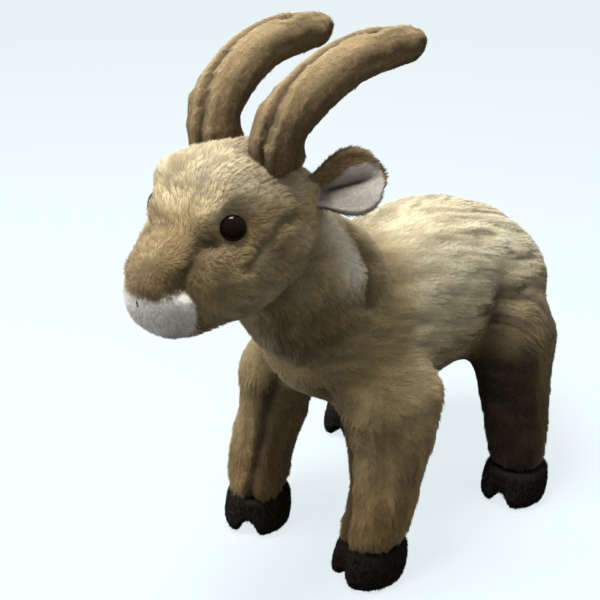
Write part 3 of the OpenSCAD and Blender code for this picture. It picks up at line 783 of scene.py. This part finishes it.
STRAND = material("pile", rough=0.82, sheen=0.12, speck=0.10)
WHITE_STRAND = material("pale_pile", rough=0.8, sheen=0.5, speck=0.03)
HORN_STRAND = material("short_pile", rough=0.8, sheen=0.12, grain_scale=300, speck=0.12)
HOOF_STRAND = material("dark_pile", rough=0.8, specular=0.1, grain_scale=300, speck=0.2)
# painted shade: the skin under the pile is darker than its tint, so the gaps between strands look shaded
SHADED_BACKING = material("shaded_pile_backing", rough=0.95, gain=0.55, bump=0.6, grain_scale=700, speck=0.25)
GLOSS = material("eye_gloss", (0.006, 0.0035, 0.002), rough=0.04, specular=0.15, grain_scale=120, speck=0.5)
THREAD = material("nose_thread", (0.03, 0.02, 0.015), rough=0.7, bump=0.5, grain_scale=2500)
WASHER = material("washer_plastic", (0.8, 0.8, 0.78), rough=0.45, bump=0.1, grain_scale=400)


def piece(o, mat, slot, body_name=None, blend=None, replaces=(), padded=None):
    """Give an object its material, and tie it to a body or, for a blended piece, bake its place into its
    mesh;
    hide the CAD parts that it replaces.
    """
    o.data.materials.clear()
    o.data.materials.append(mat)
    if blend:
        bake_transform(o)
    else:
        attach(o, body_name)
    if replaces:
        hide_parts(*replaces)


def tinted(o, tint):
    """The object, painted with tint."""
    set_tint(o.data, tint(verts_of(o.data)))
    return o


# ---------------------------------------------------------------- the body cut where the parts meet
NECK_CUT = -5
LEG_CUT = {"front": 84.0, "hind": 80.0}
LEG_BLEND = 25
c = face_centres(body)
# 0 on the trunk, 1 on the head and neck, 2 on the muzzle, and 3 to 6 on the legs
part_of = np.zeros(len(c), int)
part_of[(c - NECK) @ NECK_DIR > NECK_CUT] = 1
part_of[(part_of == 1) & (in_muzzle(c) > 0.5)] = 2
for i, (end, side) in enumerate(LEGS):
    sx = 1 if side == "left" else -1
    near = (c[:, 1] < 10) if end == "front" else (c[:, 1] > 10)
    part_of[(c[:, 2] < LEG_CUT[end]) & near & (c[:, 0] * sx > 0)] = 3 + i

trunk_skin = subset(body, "trunk_skin", part_of == 0)
head_skin = subset(body, "head_skin", part_of == 1)
muzzle_skin = subset(body, "muzzle_skin", part_of == 2)
leg_skins = {e: subset(body, f"{e[0]}_{e[1]}_leg_skin", part_of == 3 + i) for i, e in enumerate(LEGS)}
bpy.data.objects.remove(body)

# strands on each square millimetre, and their width at the root
DENSITY = 2.2
WIDTH = 0.52
HEAD_BLEND = 40


def coat(skin, parts, mat, slot, how, thick=1.0, fine=1.0, length=body_length, flow=body_flow, tint=body_tint,
         **kw):
    """Strands over one skin, shared between several pieces by where they stand."""
    for label, keep in parts:
        strands = pile(label, skin, DENSITY * thick, length, WIDTH * fine, flow, tint, keep=keep, **kw)
        piece(strands, mat, slot, **how)


def evenly(length):
    """A pile of one length everywhere."""
    return lambda p: np.full(len(p), length)


def straight(d):
    """A pile that lies one way everywhere."""
    return lambda p: np.tile(d, (len(p), 1))


# trunk
coat(trunk_skin, [
    ("trunk_pile_front", lambda p: p[:, 1] < 10),
    ("trunk_pile_rear_left", lambda p: (p[:, 1] >= 10) & (p[:, 0] >= 0)),
    ("trunk_pile_rear_right", lambda p: (p[:, 1] >= 10) & (p[:, 0] < 0))],
    STRAND, "tan_plush", {"body_name": "trunk"}, thick=1.15, fine=0.9, lean=(64, 85),
    cells=((3.2, 24, 3.2), (9, 36, 8)), pull=(0.4, 0.15), curl=0.25, spread=0.06, deep=0.42, fall=slope)
piece(tinted(trunk_skin, body_tint), SHADED_BACKING, "tan_plush", body_name="trunk",
      replaces=TRUNK_PANELS + ["trunk_stuffing"], padded=0.85)

# head and neck, which meet the trunk at the neck's root
how = {"blend": ("trunk", "head", NECK + NECK_CUT * NECK_DIR, NECK + HEAD_BLEND * NECK_DIR)}
coat(head_skin, [
    ("neck_pile", lambda p: on_head(p) < 0.5),
    ("head_pile_left", lambda p: (on_head(p) >= 0.5) & (p[:, 0] >= 0)),
    ("head_pile_right", lambda p: (on_head(p) >= 0.5) & (p[:, 0] < 0))],
    STRAND, "tan_plush", how, thick=1.5, fine=0.75, lean=(48, 74),
    cells=((3.4, 4.4, 3.4), (9, 12, 9)), pull=(0.3, 0.2), deep=0.45)
covered = NECK_PANELS + [n for n in HEAD_PANELS if n != "muzzle_panel"] + ["neck_stuffing", "head_stuffing"]
piece(tinted(head_skin, body_tint), SHADED_BACKING, "tan_plush", replaces=covered, padded=0.9, **how)

# pale muzzle
how = {"body_name": "head"}
coat(muzzle_skin, [("muzzle_pile", None)], WHITE_STRAND, "white_plush", how, thick=2.0, fine=0.65,
     lean=(60, 82), cells=((2.6, 7, 2.6), (6, 12, 6)), pull=(0.3, 0.15), root=0.5, deep=0.9, contrast=0.15)
piece(tinted(muzzle_skin, body_tint), SHADED_BACKING, "white_plush", replaces=["muzzle_panel"], padded=0.9, **how)

# legs, which meet the trunk at their tops
for (end, side), skin in leg_skins.items():
    x, y, _ = pivot[f"{end}_leg_swing_{side}"]
    top = LEG_CUT[end]
    how = {"blend": ("trunk", f"leg_{end}_{side}", (x, y, top), (x, y, top - LEG_BLEND))}
    coat(skin, [(f"{end}_{side}_leg_pile", None)], STRAND, "tan_plush", how, thick=1.2, fine=0.85,
         lean=(60, 82), cells=((3.2, 3.2, 13), (8, 8, 26)), pull=(0.35, 0.15), curl=0.35, spread=0.1,
         deep=0.45)
    piece(tinted(skin, body_tint), SHADED_BACKING, "tan_plush",
          replaces=[f"{end}_{side}_{k}" for k in ("outer", "inner", "stuffing")], padded=0.85, **how)


# ---------------------------------------------------------------- hooves, horns, ears and tail
def stuffed(name, members, voxel, grow, levels=0, soft=2):
    """One soft skin round some CAD solids."""
    o = joined(name, members)
    remesh(o, voxel)
    outer_shell(o)
    relax(o, soft)
    swell(o, grow)
    if levels:
        subdivide(o, levels)
    o.data.shade_smooth()
    return o


# the open arch between the two toes of a hoof
ARCH_HALF = 5.8
ARCH_TOP = 7.5
FRONT_HOOF_TURN = -20
HOOF_PILE = 2.0
SOLE = 2.2


def build_hoof(end, side):
    """A dark hoof whose two toes part in front."""
    hoof = stuffed(f"{end}_{side}_hoof_skin", [f"{end}_{side}_hoof"], 1.6, 0.0, soft=3)
    co = verts_of(hoof.data)
    mid = (co.min(0) + co.max(0)) / 2
    turn = math.radians(FRONT_HOOF_TURN if end == "front" else 0) * (1 if side == "left" else -1)
    across = (co - mid) @ [math.cos(turn), math.sin(turn), 0]
    ahead = -(co - mid) @ [-math.sin(turn), math.cos(turn), 0]
    arch = np.exp(-(across / ARCH_HALF) ** 4) * smooth(ahead, -2, 9)
    co[:, 2] = np.maximum(co[:, 2], co[:, 2] * (1 - arch) + arch * (ARCH_TOP + 0.35 * co[:, 2]))
    set_verts(hoof.data, co)

    def hoof_tint(p):
        return np.tile(BLACK, (len(p), 1)) * (0.6 + 0.7 * noise(p, 3, 51))[:, None]

    how = {"body_name": f"leg_{end}_{side}"}
    coat(hoof, [(f"{end}_{side}_hoof_pile", lambda p: p[:, 2] > SOLE)], HOOF_STRAND, "dark_plush", how,
         length=evenly(HOOF_PILE), flow=straight([0.0, 0.1, -1.0]), tint=hoof_tint, thick=1.6, fine=0.75,
         lean=(50, 74), cells=((2.4, 2.4, 3.4), (6, 6, 8)), root=0.4)
    piece(tinted(hoof, straight(BLACK)), SHADED_BACKING, "dark_plush", replaces=[f"{end}_{side}_hoof"], **how)


# the horns stand this much further out and are this much thicker than the CAD solids
HORN_SHIFT = 1.2
HORN_SWELL = 1.5
HORN_PILE = 2.6
# sizes that unroll a horn: its mean radius and its length
HORN_R = 9
HORN_LENGTH = 110


def build_horn(side, sx):
    """A swept-back horn with a seam down each side of its curve."""
    covered = [f"horn_{side}_{k}" for k in ("outer", "inner", "stuffing")]
    horn = stuffed(f"horn_{side}_skin", covered, 1.8, HORN_SWELL, levels=1, soft=4)
    co = verts_of(horn.data) + [HORN_SHIFT * sx, 0, 0]
    # centre line, from the middles of slices around the hub of the curve
    hub = np.array([0, co[:, 1].max() - 12, co[:, 2].min() - 2])
    angle = np.arctan2(co[:, 2] - hub[2], -(co[:, 1] - hub[1]))
    bins = np.linspace(angle.min(), angle.max(), 25)
    mids = np.array([co[(angle >= a) & (angle <= b)].mean(0) for a, b in zip(bins[:-1], bins[1:])])

    def frame_at(p):
        """The nearest point of the centre line, the way to the root, and how far from root 0 to tip 1."""
        d = np.linalg.norm(p[:, None] - mids[None], axis=2)
        i = np.clip(d.argmin(1), 1, len(mids) - 2)
        return mids[i], unit(mids[i - 1] - mids[i + 1]), i / (len(mids) - 1)

    def round_horn(p):
        """Angle round the horn, 0 on the outside of its curve, and how far along it."""
        centre, along, t = frame_at(p)
        away = p - centre
        outward = unit(np.cross(along, [1.0, 0, 0]))
        return np.arctan2(away[:, 0], (away * outward).sum(1)), t

    def unrolled(turn, t):
        return np.stack([turn * HORN_R, t * HORN_LENGTH, 0 * t], 1)

    def from_seam(turn, t):
        """Angle from the nearer of the two seams, which wander a little."""
        wave = 0.5 * (noise(np.stack([t * HORN_LENGTH, 0 * t, 0 * t], 1), 13, 62) - 0.5)
        return np.abs(np.remainder(turn - wave + math.pi / 2, math.pi) - math.pi / 2)

    def horn_tint(p):
        turn, t = round_horn(p)
        run = unrolled(turn, t)
        streak = 0.6 * noise(run, (1.3, 18, 1), 61) + 0.4 * noise(run, (3.5, 30, 1), 63)
        c = np.tile(HORN, (len(p), 1))
        # painted highlight on the outside of the horn's curve
        c = mix(c, HORN_HIGHLIGHT, 0.75 * smooth(np.cos(turn), -0.1, 0.9))
        c = mix(c, c * [0.52, 0.47, 0.40], 1 - smooth(t, 0.05, 0.42))
        c = c * (0.45 + 1.1 * streak)[:, None]
        off = from_seam(turn, t)
        # painted highlight beside each seam, and painted shade in the seam itself
        c = mix(c, HORN_HIGHLIGHT * 1.15, 0.55 * np.exp(-((off - 0.36) / 0.12) ** 2))
        return mix(c, c * 0.30, 0.85 * np.exp(-(off / 0.12) ** 2))

    turn, t = round_horn(co)
    off = from_seam(turn, t)
    ripple = noise(unrolled(turn, t), (5, 13, 1), 64) - 0.5
    push = 1.3 * ripple - 1.8 * np.exp(-(off / 0.16) ** 2) + 0.5 * np.exp(-((off - 0.4) / 0.18) ** 2)
    set_verts(horn.data, co + normals_of(horn.data) * push[:, None])
    how = {"body_name": f"horn_{side}"}
    coat(horn, [(f"horn_{side}_pile", None)], HORN_STRAND, "brown_plush", how, length=evenly(HORN_PILE),
         flow=lambda p: frame_at(p)[1], tint=horn_tint, thick=2.4, fine=0.6, lean=(68, 84),
         cells=((1.8, 9, 9), (4, 16, 16)), pull=(0.3, 0.15), root=0.4, curl=0.25, deep=0.55, spread=0.06)
    piece(tinted(horn, horn_tint), SHADED_BACKING, "brown_plush", replaces=covered, padded=0.95, **how)


# the left ear: the way to its tip, and the way that its lining faces
EAR_DIR = unit(np.array([0.74, 0.62, 0.26]))
EAR_FACE = np.array([0.53, -0.77, 0.32])
EAR_BACK_PILE = 2.4
EAR_LINING_PILE = 1.6
# where the lining ends below the tip, and how far its fold runs from the middle of the ear
LINING_END = 31.2
FOLD_AT = 1.0


def build_ear(side, sx):
    """A cupped leaf with a brown back and a pale, folded lining."""
    root = pivot[f"ear_fold_{side}"]
    mirror = np.array([sx, 1, 1])
    tipward = EAR_DIR * mirror
    face = EAR_FACE * mirror
    face = unit(face - tipward * (tipward @ face))
    upward = np.cross(tipward, face) * sx

    def on_ear(p):
        """How far each point is across the ear and toward its tip."""
        return (p - root) @ upward, (p - root) @ tipward

    ear = stuffed(f"ear_{side}_skin", [f"ear_{side}_back", f"ear_{side}_lining"], 1.0, -0.35, soft=5)
    co = verts_of(ear.data)
    v, u = on_ear(co)
    front = smooth((normals_of(ear.data) @ face), 0.1, 0.5)
    fold = np.exp(-((v - FOLD_AT) / 1.8) ** 2) * front * smooth(u, 2, 8) * (1 - smooth(u, 22, 31))
    puff = np.exp(-((np.abs(v - FOLD_AT) - 6.5) / 4) ** 2) * front * smooth(u, 2, 9) * (1 - smooth(u, 24, 32))
    set_verts(ear.data, co + face * (1.3 * puff - 1.5 * fold)[:, None])

    sheet = ear.data
    v, u = on_ear(face_centres(ear))
    brim = -0.8 - 6.4 * smooth(u, 2, 20) + 2.5 * smooth(u, 26, 33)
    looks = np.empty(len(sheet.polygons) * 3, np.float32)
    sheet.polygons.foreach_get("normal", looks)
    pale = (looks.reshape(-1, 3).astype(float) @ face > 0.1) & (u < LINING_END) & (v > brim)
    back_skin = subset(ear, f"ear_{side}_back_skin", ~pale)
    lining_skin = subset(ear, f"ear_{side}_lining_skin", pale)
    bpy.data.objects.remove(ear)

    def ear_tint(p):
        return np.tile(HORN * 1.1, (len(p), 1)) * (0.8 + 0.4 * noise(p, 4, 71))[:, None]

    def lining_tint(p):
        v, u = on_ear(p)
        fold = np.exp(-((v - FOLD_AT) / 1.2) ** 2) * smooth(u, 0, 6) * (1 - smooth(u, 20, 28))
        edge = np.exp(-((v - FOLD_AT) / 3.4) ** 2) * smooth(u, 0, 6) * (1 - smooth(u, 18, 30))
        brushed = noise(np.stack([v, u * 0.16, 0 * u], 1), 1.1, 72)
        c = np.tile(WHITE * [0.62, 0.61, 0.59], (len(p), 1)) * (0.90 + 0.14 * brushed)[:, None]
        c = mix(c, c * 0.6, smooth(-u, -9, -2))
        # painted shade in and beside the lining's fold
        c = mix(c, c * 0.62, 0.7 * edge)
        return mix(c, FOLD_SHADE, 0.95 * fold)

    how = {"body_name": f"ear_{side}"}
    coat(back_skin, [(f"ear_{side}_back_pile", None)], HORN_STRAND, "brown_plush", how,
         length=evenly(EAR_BACK_PILE), flow=straight(tipward), tint=ear_tint, thick=2.0, fine=0.65,
         lean=(50, 72), cells=((2.2, 3, 3), (5, 7, 5)), root=0.3)
    coat(lining_skin, [(f"ear_{side}_lining_pile", None)], WHITE_STRAND, "white_plush", how,
         length=evenly(EAR_LINING_PILE), flow=straight(tipward), tint=lining_tint, thick=3.0, fine=0.5,
         lean=(72, 85), cells=((1.8, 3, 3), (5, 7, 5)), pull=(0.1, 0.05), root=0.3, curl=0.2, deep=0.95,
         spread=0.05, contrast=0.1)
    piece(tinted(back_skin, ear_tint), SHADED_BACKING, "brown_plush", replaces=[f"ear_{side}_back"], **how)
    piece(tinted(lining_skin, lining_tint), SHADED_BACKING, "white_plush", replaces=[f"ear_{side}_lining"], **how)


def build_tail():
    """A short tuft of long pile."""
    covered = ["tail_top", "tail_under"]
    tail = stuffed("tail_skin", covered, 1.4, -0.8, soft=4)
    coat(tail, [("tail_pile", None)], STRAND, "tan_plush", {"body_name": "tail"}, length=evenly(5.5),
         flow=straight([0.0, 0.35, -1.0]), thick=1.3, lean=(36, 64), cells=((3.6, 3.6, 7), (8, 8, 14)))
    piece(tinted(tail, body_tint), SHADED_BACKING, "tan_plush", body_name="tail", replaces=covered, padded=0.8)


for end, side in LEGS:
    build_hoof(end, side)
for side, sx in (("left", 1), ("right", -1)):
    build_horn(side, sx)
    build_ear(side, sx)
build_tail()


# ---------------------------------------------------------------- eyes, nose thread and washers
EYE_R = 6.0
DOME_H = 3.6
RIM = 0.8
SHANK_R = 2.0
SHANK_L = 13


def build_eye(side, sx):
    """A glossy dome on its shank, turned about the way that the eye looks."""
    d = EYE_DIR * [sx, 1, 1]
    base = EYE_SEAT * [sx, 1, 1]
    s = unit(np.cross(d, UP))
    t = np.cross(s, d)
    # radius and height from the back of the shank, round the rim and over the dome
    outline = [(1.6, -SHANK_L), (SHANK_R, -12.4), (SHANK_R, 0.2), (5.3, 0.2), (5.8, 0.35), (EYE_R, RIM)]
    outline += [(EYE_R * math.cos(a), RIM + DOME_H * math.sin(a))
                for a in np.linspace(0.06, math.pi / 2, 18)[:-1]]
    ring, rows = 56, len(outline)
    turns = 2 * math.pi * np.arange(ring) / ring
    co = [base + d * h + (s * math.cos(a) + t * math.sin(a)) * r for r, h in outline for a in turns]
    co += [base - d * SHANK_L, base + d * (RIM + DOME_H)]
    faces = tube_faces(rows, ring)
    for k in range(ring):
        j = (k + 1) % ring
        faces.append([j, k, rows * ring])
        faces.append([(rows - 1) * ring + k, (rows - 1) * ring + j, rows * ring + 1])
    eye = new_object(f"eye_{side}_dome", mesh_from("eye", np.array(co), faces))
    eye.data.shade_smooth()
    piece(eye, GLOSS, "eye", body_name="head", replaces=[f"eye_{side}"])


def build_nose():
    """A short straight stitch of two twisted strands, sunk at both ends."""
    twist, thick, around = 0.16, 0.24, 8
    steps = np.linspace(-1, 1, 26)
    co, faces = [], []
    for strand in (0, math.pi):
        faces += tube_faces(len(steps), around, len(co)) + end_faces(len(steps), around, len(co))
        for x in steps:
            turn = strand + x * 1.5 * math.pi
            mid = NOSE + [twist * math.cos(turn), -0.5 + twist * math.sin(turn) - 0.35 * x, 1.5 * x]
            for a in np.linspace(0, 2 * math.pi, around + 1)[:-1]:
                co.append(mid + np.array([math.cos(a), math.sin(a), 0]) * thick)
    thread = new_object("nose_thread", mesh_from("thread", np.array(co), faces))
    thread.data.shade_smooth()
    piece(thread, THREAD, "thread", body_name="head", replaces=["nose_stitch"])


for side, sx in (("left", 1), ("right", -1)):
    build_eye(side, sx)
    washer = nodes[f"eye_washer_{side}"].data
    washer.materials.clear()
    washer.materials.append(WASHER)
build_nose()


# ---------------------------------------------------------------- floor, light and camera
FLOOR_HALF = 4.0
BACKDROP_R = 3.9
GLOW = (0.88, 0.97, 1.0, 1)


def plain(name, colour, glow):
    """A matt surface that also glows a little, so that the studio stays pale."""
    m = bpy.data.materials.new(name)
    m.use_nodes = True
    s = m.node_tree.nodes["Principled BSDF"]
    s.inputs["Base Color"].default_value = (*colour, 1)
    s.inputs["Roughness"].default_value = 0.9
    s.inputs["Specular IOR Level"].default_value = 0.1
    s.inputs["Emission Color"].default_value = GLOW
    s.inputs["Emission Strength"].default_value = glow
    return m


corners = np.array([(-1, -1, 0), (1, -1, 0), (1, 1, 0), (-1, 1, 0)]) * FLOOR_HALF / MM
floor = new_object("floor", mesh_from("floor", corners, [(0, 1, 2, 3)]))
floor.data.materials.append(plain("floor_pale", (0.11, 0.135, 0.145), 0.82))
floor.visible_diffuse = False
floor.visible_glossy = False

# a plain pale backdrop that the lights pass through
backdrop = new_object("backdrop", mesh_from("backdrop", *ball(np.zeros(3), BACKDROP_R / MM)))
backdrop.data.shade_smooth()
backdrop.data.materials.append(plain("backdrop_pale", (0.1, 0.11, 0.115), 0.84))
backdrop.visible_diffuse = False
backdrop.visible_glossy = False
backdrop.visible_shadow = False

# soft light from all round, brighter from above
world = bpy.data.worlds.new("studio")
bpy.context.scene.world = world
world.use_nodes = True
w = world.node_tree
sky = w.nodes.new("ShaderNodeTexCoord")
split = w.nodes.new("ShaderNodeSeparateXYZ")
ramp = w.nodes.new("ShaderNodeMapRange")
ramp.inputs["From Min"].default_value = -0.7
ramp.inputs["To Min"].default_value = 0.08
ramp.inputs["To Max"].default_value = 0.56
w.links.new(sky.outputs["Generated"], split.inputs["Vector"])
w.links.new(split.outputs["Z"], ramp.inputs["Value"])
w.links.new(ramp.outputs["Result"], w.nodes["Background"].inputs["Strength"])
w.nodes["Background"].inputs["Color"].default_value = (1.0, 0.97, 0.91, 1)
bpy.context.scene.view_settings.view_transform = "Standard"

# the middle of the toy, which every lamp faces
CENTRE = Vector((0.0, 0.0, 0.145))


def lamp(name, pos, size, power, colour):
    """A round soft lamp: place and diameter in metres, power in watts."""
    light = bpy.data.lights.new(name, "AREA")
    light.shape = "DISK"
    light.size = size
    light.energy = power
    light.color = colour
    o = bpy.data.objects.new(name, light)
    bpy.context.scene.collection.objects.link(o)
    o.location = pos
    o.rotation_euler = (Vector(pos) - CENTRE).to_track_quat("Z", "Y").to_euler()
    return o


lamp("key", (-0.10, -0.32, 1.35), 0.5, 26, (1.0, 0.965, 0.90))
lamp("fill", (1.1, -0.3, 0.7), 1.2, 1.6, (1.0, 0.98, 0.94)).visible_glossy = False
lamp("low", (-0.62, -0.72, 0.32), 0.22, 4.0, (1.0, 0.98, 0.94))

# the camera looks down from the left of the nose
YAW, PITCH = 39.7, 23.9
camera = bpy.data.cameras.new("camera")
camera.lens = 71.4
camera.sensor_width = 36
cam = bpy.data.objects.new("camera", camera)
bpy.context.scene.collection.objects.link(cam)
cam.location = (0.3602, -0.4859, 0.4086)
yaw, pitch = math.radians(YAW), math.radians(PITCH)
look = Vector((-math.sin(yaw) * math.cos(pitch), math.cos(yaw) * math.cos(pitch), -math.sin(pitch)))
cam.rotation_euler = look.to_track_quat("-Z", "Y").to_euler()
bpy.context.scene.camera = cam
